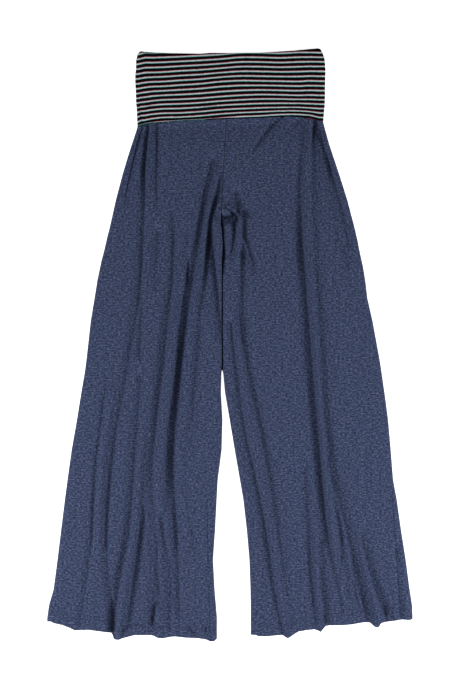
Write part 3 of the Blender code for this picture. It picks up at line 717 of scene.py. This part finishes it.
def blank_material(name, roughness, gloss):
    material = bpy.data.materials.new(name)
    material.use_nodes = True
    tree = material.node_tree
    shader = tree.nodes["Principled BSDF"]
    shader.inputs["Roughness"].default_value = roughness
    shader.inputs["Specular IOR Level"].default_value = gloss
    return material, tree, shader


def grain(tree, uv, width, height, detail, shift):
    """Noise whose blotches are so wide and high, in millimetres of cloth."""
    size = (1.0 / (width * MM), 1.0 / (height * MM), 1.0)
    placed = node(tree, "ShaderNodeMapping", {"Vector": uv, "Scale": size, "Location": (shift, shift, 0)})
    made = node(
        tree, "ShaderNodeTexNoise",
        {"Vector": placed.outputs["Vector"], "Scale": 1.0, "Detail": detail, "Roughness": 0.55},
        noise_dimensions="2D",
    )
    return made.outputs["Fac"]


def painted_seam_shade(tree, colour):
    """Darkens a colour in a fine line along a seam, where two layers' edges meet: painted shade."""
    seam = node(tree, "ShaderNodeAttribute", attribute_name="seam").outputs["Fac"]
    line = node(
        tree, "ShaderNodeMapRange",
        {"Value": seam, "From Min": 0.0002, "From Max": 0.0016, "To Min": 0.0, "To Max": 1.0},
        interpolation_type="SMOOTHSTEP",
    ).outputs["Result"]
    shade = node(tree, "ShaderNodeValToRGB", {"Fac": line}, (
        (0.0, (0.62, 0.62, 0.62, 1.0)), (1.0, (1.0, 1.0, 1.0, 1.0)),
    ))
    seamed = node(
        tree, "ShaderNodeMix", {"Factor": 1.0, "A": colour, "B": shade.outputs["Color"]},
        data_type="RGBA", blend_type="MULTIPLY",
    )
    return seamed.outputs["Result"], line


def heather_jersey():
    """Cotton-blend jersey knitted from navy yarn spun with paler fibres: matt, softly speckled."""
    material, tree, shader = blank_material("navy_heather_jersey", 0.9, 0.03)
    uv = node(tree, "ShaderNodeUVMap", uv_map="cloth").outputs["UV"]
    # The speckle of single yarns is under 1 mm; it is drawn 4.2 mm by 2.6 mm, as coarse as it shows.
    speckle = grain(tree, uv, 4.2, 2.6, 1.0, 0.0)
    slub = grain(tree, uv, 13.0, 2.6, 1.0, 7.0)
    part = node(tree, "ShaderNodeMath", {0: speckle, 1: 0.75}, operation="MULTIPLY")
    mixed = node(
        tree, "ShaderNodeMath", {0: slub, 1: 0.25, 2: part.outputs["Value"]},
        operation="MULTIPLY_ADD",
    )
    heather = node(tree, "ShaderNodeValToRGB", {"Fac": mixed.outputs["Value"]}, (
        (0.30, linear("2b334c")), (0.44, linear("3a435f")),
        (0.56, linear("495372")), (0.74, linear("656d8c")),
    ))
    # Paler fibres lean warm in places and cool in others.
    hue = grain(tree, uv, 4.6, 2.8, 0.0, 3.0)
    tint = node(tree, "ShaderNodeValToRGB", {"Fac": hue}, (
        (0.32, linear("fbf3e8")), (0.5, linear("f3f3f3")), (0.68, linear("e8f3fb")),
    ))
    tinted = node(
        tree, "ShaderNodeMix",
        {"Factor": 1.0, "A": heather.outputs["Color"], "B": tint.outputs["Color"]},
        data_type="RGBA", blend_type="MULTIPLY",
    )
    # Painted shade along the seams and the hem's stitching.
    seamed, line = painted_seam_shade(tree, tinted.outputs["Result"])
    # Painted shade: little light reaches the fibres deep in a crease, so they are coloured darker.
    hollow = node(tree, "ShaderNodeAttribute", attribute_name="hollow").outputs["Fac"]
    deep = node(tree, "ShaderNodeValToRGB", {"Fac": hollow}, (
        (0.0, (1.0, 1.0, 1.0, 1.0)), (1.0, (0.25, 0.25, 0.25, 1.0)),
    ))
    creased = node(
        tree, "ShaderNodeMix",
        {"Factor": 1.0, "A": seamed, "B": deep.outputs["Color"]},
        data_type="RGBA", blend_type="MULTIPLY",
    )
    tree.links.new(creased.outputs["Result"], shader.inputs["Base Color"])
    fibre = grain(tree, uv, 1.1, 1.1, 2.0, 11.0)
    relief = node(
        tree, "ShaderNodeMath", {0: mixed.outputs["Value"], 1: 0.6, 2: fibre},
        operation="MULTIPLY_ADD",
    )
    relief = node(
        tree, "ShaderNodeMath", {0: line, 1: 1.5, 2: relief.outputs["Value"]},
        operation="MULTIPLY_ADD",
    )
    bump = node(
        tree, "ShaderNodeBump",
        {"Height": relief.outputs["Value"], "Strength": 0.3, "Distance": 0.0004},
    )
    tree.links.new(bump.outputs["Normal"], shader.inputs["Normal"])
    return material


def striped_rib():
    """Fine 1x1 rib in black yarn with pale grey stripes, each edged in dusty rose and teal."""
    material, tree, shader = blank_material("striped_rib_knit", 0.9, 0.02)
    uv = node(tree, "ShaderNodeUVMap", uv_map="cloth").outputs["UV"]
    course = node(tree, "ShaderNodeAttribute", attribute_name="course").outputs["Fac"]
    waver = grain(tree, uv, 5.0, 3.0, 1.0, 2.0)
    waver = node(tree, "ShaderNodeMath", {0: waver, 1: 0.1, 2: 0.45}, operation="MULTIPLY_ADD")
    phase = node(tree, "ShaderNodeMath", {0: course, 1: waver.outputs["Value"]}, operation="ADD")
    phase = node(tree, "ShaderNodeMath", {0: phase.outputs["Value"]}, operation="FRACT")
    # A fitting script gave these colours, from the photograph's mean stripe.
    stripes = node(tree, "ShaderNodeValToRGB", {"Fac": phase.outputs["Value"]}, (
        (0.25, linear("1a080b")), (0.29, linear("7e1e1e")), (0.33, linear("a75469")),
        (0.38, linear("c898a5")), (0.42, linear("dfc6cf")), (0.46, linear("ebe2e8")),
        (0.50, linear("eceef2")), (0.54, linear("deefee")), (0.58, linear("bde4df")),
        (0.62, linear("86cdc6")), (0.67, linear("4ba6a3")), (0.71, linear("2c656e")),
        (0.75, linear("070d11")),
    ))
    yarn = grain(tree, uv, 1.3, 1.6, 1.0, 5.0)
    worn = node(tree, "ShaderNodeValToRGB", {"Fac": yarn}, (
        (0.3, (0.72, 0.72, 0.72, 1.0)), (0.7, (1.0, 1.0, 1.0, 1.0)),
    ))
    knitted = node(
        tree, "ShaderNodeMix",
        {"Factor": 1.0, "A": stripes.outputs["Color"], "B": worn.outputs["Color"]},
        data_type="RGBA", blend_type="MULTIPLY",
    )
    # Painted shade along the waistband's side seam.
    seamed, _ = painted_seam_shade(tree, knitted.outputs["Result"])
    tree.links.new(seamed, shader.inputs["Base Color"])
    # Ribs 1.3 mm apart run up the band; they show close up only.
    ribs = node(
        tree, "ShaderNodeTexWave", {"Vector": uv, "Scale": 2.0 * np.pi / 20.0 / (1.3 * MM)},
        wave_type="BANDS", bands_direction="X",
    )
    bump = node(
        tree, "ShaderNodeBump", {"Height": ribs.outputs["Fac"], "Strength": 0.5, "Distance": 0.0003}
    )
    tree.links.new(bump.outputs["Normal"], shader.inputs["Normal"])
    return material


def sewing_thread():
    """Spun polyester thread in dark navy, matt, so that it only just shows on the jersey."""
    material, _, shader = blank_material("navy_sewing_thread", 0.7, 0.1)
    shader.inputs["Base Color"].default_value = linear("2b3350")
    return material


JERSEY = heather_jersey()
RIB = striped_rib()
THREAD = sewing_thread()

# ---------------------------------------------------------------- legs
left_leg = Leg("left", LEFT_HEM, LEFT_FOLDS, LEFT_TUCKS, 3)
right_leg = Leg("right", RIGHT_HEM, RIGHT_FOLDS, RIGHT_TUCKS, 8)


def seam_distance(leg, x, y):
    """How far a point lies from the seams that have rolled onto the front, in metres."""
    nearest = np.full(x.shape, 1.0)
    for seam in SEAMS:
        if seam.leg == leg.side:
            t = (seam.y_top - y) / (seam.y_top - seam.y_foot)
            line = curve_through([seam.x0, seam.x1, seam.x2, seam.x3], t)
            past = np.maximum(np.abs(t - 0.5) - 0.5, 0.0) * (seam.y_top - seam.y_foot)
            nearest = np.minimum(nearest, np.hypot(x - line, past) * MM)
    above = np.maximum(CROTCH_Y - y, 0.0)
    nearest = np.minimum(nearest, np.hypot(x - leg.centre(y), above) * MM)
    # The hem's stitching presses in a line, faint in some stretches, and gets painted shade along it.
    faint = 1.1 - 0.5 * undulation(x, 0.0 * y, 90.0, 500.0, 12)
    pressed = np.abs(y - leg.hem(x) - HEM_ROWS_MIDDLE) + np.clip(faint, 0.5, 1.6)
    return np.minimum(nearest, pressed * MM)


def front_cloth(leg, name):
    x, y = leg.grid(LEG_ROWS, LEG_COLUMNS, leg.inner)
    high = leg.front_high(x, y)
    low = high - CLOTH * steepness(high, x) - leg.hem_extra(x, y)
    # The front is given painted shade deep in its creases.
    return shell(
        name, x, y, low, high, JERSEY, seam=seam_distance(leg, x, y), hollow=leg.hollow(x, y)
    )


def back_cloth(leg, name):
    x, y = leg.grid(BACK_ROWS, BACK_COLUMNS, leg.middle)
    low = leg.back_low(x, y)
    waves = BACK_WAVE_HEIGHT * undulation(x, y, 60.0, 420.0, 21)
    stands_off = np.clip(waves, 0.0, BACK_WAVE_MOST)
    for crease in BACK_CREASES:
        if crease.leg == leg.side:
            t = (crease.y_top - y) / (crease.y_top - crease.y_foot)
            line = curve_through([crease.x0, crease.x1, crease.x2, crease.x3], t)
            height = crease.height * smooth(t / 0.25) * smooth((1.0 - t) / 0.25)
            stands_off = stands_off + height * profile(x - line, crease.reach, crease.reach, 0.4)
    # The creases stay under the front where its own come down.
    stands_off = np.minimum(stands_off, BACK_WAVE_MOST + 0.6 * leg.lift(x, y))
    low = low + stands_off * smooth((y - leg.hem(x) - BACK_FLAT_HEM) / BACK_FLAT_FADE)
    # Between the legs the back gets painted shade, as it lies deep in their shade.
    hollow = smooth((GULLY_REACH - np.abs(x - leg.centre(y))) / GULLY_FADE)
    hollow = hollow * (y > PARTING_Y) * (y < CROTCH_Y + GULLY_RISE)
    return shell(
        name, x, y, low, low + CLOTH + leg.hem_extra(x, y), JERSEY,
        seam=0.0 * x + 1.0, hollow=hollow,
    )


front_left = front_cloth(left_leg, "front_left_leg_cloth")
front_right = front_cloth(right_leg, "front_right_leg_cloth")
back_left = back_cloth(left_leg, "back_left_leg_cloth")
back_right = back_cloth(right_leg, "back_right_leg_cloth")


# ---------------------------------------------------------------- hem stitching
def stitch_rows(material):
    """A node tree that lays one rounded stitch after another along lines of edges."""
    tree = bpy.data.node_groups.new("stitch_rows", "GeometryNodeTree")
    tree.interface.new_socket(name="Geometry", in_out="INPUT", socket_type="NodeSocketGeometry")
    for name in ("Pitch", "Stitch Length", "Thread Width"):
        tree.interface.new_socket(name=name, in_out="INPUT", socket_type="NodeSocketFloat")
    tree.interface.new_socket(name="Geometry", in_out="OUTPUT", socket_type="NodeSocketGeometry")
    given = node(tree, "NodeGroupInput").outputs
    line = node(tree, "GeometryNodeMeshToCurve", {"Mesh": given["Geometry"]})
    spaced = node(
        tree, "GeometryNodeResampleCurve",
        {"Curve": line.outputs["Curve"], "Length": given["Pitch"]}, mode="LENGTH",
    )
    tangent = node(tree, "GeometryNodeInputTangent")
    turned = node(
        tree, "FunctionNodeAlignRotationToVector", {"Vector": tangent.outputs["Tangent"]}, axis="X"
    )
    size = node(tree, "ShaderNodeCombineXYZ", {
        "X": given["Stitch Length"], "Y": given["Thread Width"], "Z": given["Thread Width"],
    })
    stitch = node(tree, "GeometryNodeMeshUVSphere", {"Segments": 6, "Rings": 4, "Radius": 0.5})
    placed = node(tree, "GeometryNodeInstanceOnPoints", {
        "Points": spaced.outputs["Curve"], "Instance": stitch.outputs["Mesh"],
        "Rotation": turned.outputs["Rotation"], "Scale": size.outputs["Vector"],
    })
    real = node(tree, "GeometryNodeRealizeInstances", {"Geometry": placed.outputs["Instances"]})
    rounded_off = node(tree, "GeometryNodeSetShadeSmooth", {"Geometry": real.outputs["Geometry"]})
    finished = node(tree, "GeometryNodeSetMaterial", {
        "Geometry": rounded_off.outputs["Geometry"], "Material": material,
    })
    node(tree, "NodeGroupOutput", {"Geometry": finished.outputs["Geometry"]})
    return tree


def hem_stitching():
    """Two rows of stitches on each front hem, as a twin needle sews them."""
    points, edges = [], []
    for leg in (left_leg, right_leg):
        for height in HEM_ROWS:
            ends = sorted((float(leg.outer(-505.0)) - STITCH_INSET * leg.sign,
                           float(leg.inner(-520.0)) + STITCH_INSET * leg.sign))
            x = np.linspace(*ends, STITCH_POINTS)
            y = leg.hem(x) + height
            z = leg.front_high(x, y) + 0.05
            start = len(points)
            points += (np.stack([x, y, z], axis=-1) * MM).tolist()
            edges += [(start + i, start + i + 1) for i in range(len(x) - 1)]
    mesh = bpy.data.meshes.new("hem_stitching")
    mesh.from_pydata(points, edges, [])
    obj = bpy.data.objects.new("hem_stitching", mesh)
    bpy.context.scene.collection.objects.link(obj)
    modifier = obj.modifiers.new("stitches", "NODES")
    modifier.node_group = stitch_rows(THREAD)
    sizes = {
        "Pitch": STITCH_PITCH * MM,
        "Stitch Length": STITCH_LENGTH * MM,
        "Thread Width": THREAD_WIDTH * MM,
    }
    for item in modifier.node_group.interface.items_tree:
        if item.name in sizes:
            modifier[item.identifier] = sizes[item.name]
    view = bpy.context.evaluated_depsgraph_get()
    stitched = bpy.data.meshes.new_from_object(obj.evaluated_get(view), depsgraph=view)
    obj.modifiers.remove(modifier)
    obj.data = stitched
    bpy.data.meshes.remove(mesh)
    stitched.name = "hem_stitching"
    return obj


hem_stitches = hem_stitching()


# ---------------------------------------------------------------- waistband
def band_grid(rows, columns, inset=0.0):
    """x and y of a waistband flap: rows from its top fold down to its free edge."""
    t = np.linspace(0.0, 1.0, rows)
    t = t - BAND_ROW_CROWDING * np.sin(2.0 * np.pi * t)
    s = np.linspace(0.0, 1.0, columns)
    s = s - BAND_COLUMN_CROWDING * np.sin(2.0 * np.pi * s)
    nominal = BAND_TOP_Y - t * BAND_DEPTH
    left, right = read(BAND_SECTIONS, nominal, "left"), read(BAND_SECTIONS, nominal, "right")
    x = left[:, None] + s[None, :] * (right - left)[:, None]
    top = read(BAND_TOP, x, "y", "x") - inset
    return x, top - t[:, None] * (top - free_edge(x))


def stripe_course(x, y):
    """Which stripe a point is on, counted down from the top."""
    places = np.array(STRIPE_PLACES, float)
    lines = np.array([row[1:] for row in STRIPE_LINES], float)
    numbers = column(STRIPE_LINES, "stripe")
    shape = x.shape
    x, y = x.ravel(), y.ravel()
    at = np.array([flowing(x, places, line) for line in lines])
    slope_top = (numbers[1] - numbers[0]) / (at[1] - at[0])
    slope_end = (numbers[-2] - numbers[-3]) / (at[-2] - at[-3])
    course = numbers[0] + (y - at[0]) * slope_top
    for i in range(1, len(numbers)):
        inside = y < at[i - 1]
        part = numbers[i - 1] + (y - at[i - 1]) * (numbers[i] - numbers[i - 1]) / (at[i] - at[i - 1])
        course = np.where(inside, part, course)
    past = y < at[-1]
    course = np.where(past, numbers[-1] + (y - at[-1]) * slope_end, course)
    # Along the free edge the rib turns under on a dark stripe, on the left on a light one's edge; the
    # dark there is partly the knit's own stripe and partly painted shade of the edge rounding under.
    turned = y < free_edge(x) + TURNED_UNDER + TURNED_UNDER_MORE * smooth((60.0 - x) / 40.0)
    last = LAST_COURSE - LAST_COURSE_LESS * smooth((-20.0 - x) / 30.0)
    return np.where(turned, np.maximum(course, last), course).reshape(shape)


def front_flap():
    x, y = band_grid(110, 190)
    corner = CORNER_DROP * smooth((np.abs(x) - CORNER_X) / CORNER_LENGTH)
    top = read(BAND_TOP, x, "y", "x")
    y = y - corner * smooth((y - top + CORNER_DEPTH) / CORNER_DEPTH)
    level = BAND_WALL + GAP + BAND_CORE + GAP
    back_top = BAND_WALL + GAP
    fold_level = 0.5 * (back_top + level)
    over_legs = smooth((SEAM_Y + 1.5 - y) / 3.0)
    near_top = smooth((y - (top - FOLD_DEPTH)) / 3.0)
    side_level = back_top * (1 - over_legs) + SIDE_OVER_LEGS * over_legs
    side_level = side_level * (1 - near_top) + fold_level * near_top
    from_side = np.minimum(x - x[:, :1], x[:, -1:] - x)
    from_top = top - corner - y
    drop_side = (level - side_level) * (1.0 - rounded(from_side, SIDE_ROUND))
    drop_top = (level - fold_level) * (1.0 - rounded(from_top, TOP_ROUND))
    low = level - np.maximum(drop_side, drop_top)
    for leg in (left_leg, right_leg):
        ends = sorted((float(leg.outer(440.0)), float(leg.inner(440.0))))
        inside = (x >= ends[0] - 3) & (x <= ends[1] + 3) & (y < SEAM_Y + 1.0) & (from_side > 3.0)
        low = np.where(inside, np.maximum(low, leg.front_high(x, y) + 0.25), low)
    wave = 0.25 * undulation(x, y * 0.4, 90.0, 300.0, 5) * smooth(from_side / 15.0)
    low = low + np.maximum(wave, -0.05)
    course = stripe_course(x, y)
    seam = np.abs(x - read(BAND_SEAM, y, "x", "y")) + 9.0 * (y > SEAM_TOP_Y)
    high = low + BAND_WALL - BAND_SEAM_GROOVE * np.exp(-np.square(seam / BAND_SEAM_REACH))
    return shell(
        "waistband_front_cloth", x, y, low, high, RIB, 0.9, course=course, seam=seam * MM
    )


def back_flap():
    x, y = band_grid(70, 150)
    from_top = read(BAND_TOP, x, "y", "x") - y
    folded = smooth((4.5 - from_top) / 1.5)
    high = BAND_WALL + folded * (BAND_CORE / 2.0 + GAP / 2.0 - 0.2)
    high = high - 0.5 * smooth(1.0 - from_top)
    course = stripe_course(x, y) + 0.35
    return shell(
        "waistband_back_cloth", x, y, 0.0 * x, high, RIB, 0.8, course=course, seam=0.0 * x + 1.0
    )


def inner_layers():
    """The hidden layers of the waistband: one rounded solid, layered at its edges."""
    x, y = band_grid(60, 150)
    x = x * (x[:, -1:] - 9.0) / x[:, -1:]
    top = read(BAND_TOP, x, "y", "x") - 8.0
    t = (y - y[-1:, :]) / (y[:1, :] - y[-1:, :])
    y = SEAM_Y + GAP + t * (top - SEAM_Y - GAP)
    base = BAND_WALL + GAP
    return shell(
        "waistband_inner_cloth", x, y, 0.0 * x + base, 0.0 * x + base + BAND_CORE, RIB, 0.9,
        layers=2, course=stripe_course(x, y) + 0.6, seam=0.0 * x + 1.0,
    )


band_front = front_flap()
band_back = back_flap()
band_inner = inner_layers()


# ---------------------------------------------------------------- riding, and hiding the model's parts the pieces replace
Piece = namedtuple("Piece", "obj node slot width length area held rests_on")
for piece in (
    Piece(front_left, "front_left_leg", "jersey", 0.35, 1.02, 0.27, "laid", "back_left_leg_cloth"),
    Piece(front_right, "front_right_leg", "jersey", 0.35, 1.02, 0.27, "laid", "back_right_leg_cloth"),
    Piece(back_left, "back_left_leg", "jersey", 0.35, 1.02, 0.265, "laid", "floor"),
    Piece(back_right, "back_right_leg", "jersey", 0.35, 1.02, 0.265, "laid", "floor"),
    Piece(band_front, "waistband_front", "striped_rib", 0.36, 0.14, 0.048, "folded",
          "front_left_leg_cloth"),
    Piece(band_back, "waistband_back", "striped_rib", 0.36, 0.14, 0.048, "folded", "floor"),
    Piece(band_inner, "waistband_inner", "striped_rib", 0.345, 0.1, 0.034, "folded",
          "waistband_back_cloth"),
):
    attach(piece.obj, "root")
    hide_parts(piece.node)
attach(hem_stitches, "root")


# ---------------------------------------------------------------- floor, light and camera
FLOOR_HALF = 6.0  # these values are in metres
FLOOR_Z = -0.0004
FLOOR_GLOW = 0.9
WORLD_GLOW = 0.16
Softbox = namedtuple("Softbox", "name place size power")
SOFTBOXES = [Softbox(*row) for row in (
    ("left_softbox", (-1.55, -0.6, 0.84), (1.2, 0.63), 25.0),
    ("right_softbox", (1.55, -0.6, 0.84), (1.2, 0.63), 25.0),
    ("overhead_softbox", (0.0, -0.9, 1.6), (1.5, 0.8), 6.0),
)]
CAMERA_PLACE = (0.0002, -0.0007, 6.0)
VIEW_LEVEL = 0.006  # the height at which the view has its length
VIEW_LENGTH = 1.311  # how much the picture shows along its long side
SENSOR_WIDTH = 36.0  # this one is in millimetres


def photo_floor():
    """A plain pale floor that glows a little, as a lit studio table does."""
    material, _, shader = blank_material("white_table", 0.8, 0.0)
    shader.inputs["Base Color"].default_value = linear("f6f6f6")
    shader.inputs["Emission Color"].default_value = linear("ffffff")
    shader.inputs["Emission Strength"].default_value = FLOOR_GLOW
    mesh = bpy.data.meshes.new("floor")
    corners = [(-1, -1), (1, -1), (1, 1), (-1, 1)]
    points = [(FLOOR_HALF * i, FLOOR_HALF * j, FLOOR_Z) for i, j in corners]
    mesh.from_pydata(points, [], [(0, 1, 2, 3)])
    mesh.materials.append(material)
    obj = bpy.data.objects.new("floor", mesh)
    bpy.context.scene.collection.objects.link(obj)
    return obj


def softbox(name, place, size, power):
    light = bpy.data.lights.new(name, "AREA")
    light.shape = "RECTANGLE"
    light.size, light.size_y = size
    light.energy = power
    obj = bpy.data.objects.new(name, light)
    bpy.context.scene.collection.objects.link(obj)
    obj.location = place
    obj.rotation_mode = "QUATERNION"
    obj.rotation_quaternion = (-Vector(place)).to_track_quat("-Z", "Y")
    obj.visible_camera = False


photo_floor()
for box in SOFTBOXES:
    softbox(*box)

world = bpy.data.worlds.new("studio")
world.use_nodes = True
world.node_tree.nodes["Background"].inputs["Color"].default_value = linear("ffffff")
world.node_tree.nodes["Background"].inputs["Strength"].default_value = WORLD_GLOW
scene = bpy.context.scene
scene.world = world
scene.view_settings.view_transform = "Standard"
scene.view_settings.look = "None"

camera = bpy.data.cameras.new("camera")
camera.sensor_width = SENSOR_WIDTH
camera.lens = SENSOR_WIDTH * (CAMERA_PLACE[2] - VIEW_LEVEL) / VIEW_LENGTH
camera_object = bpy.data.objects.new("camera", camera)
camera_object.location = CAMERA_PLACE
scene.collection.objects.link(camera_object)
scene.camera = camera_object
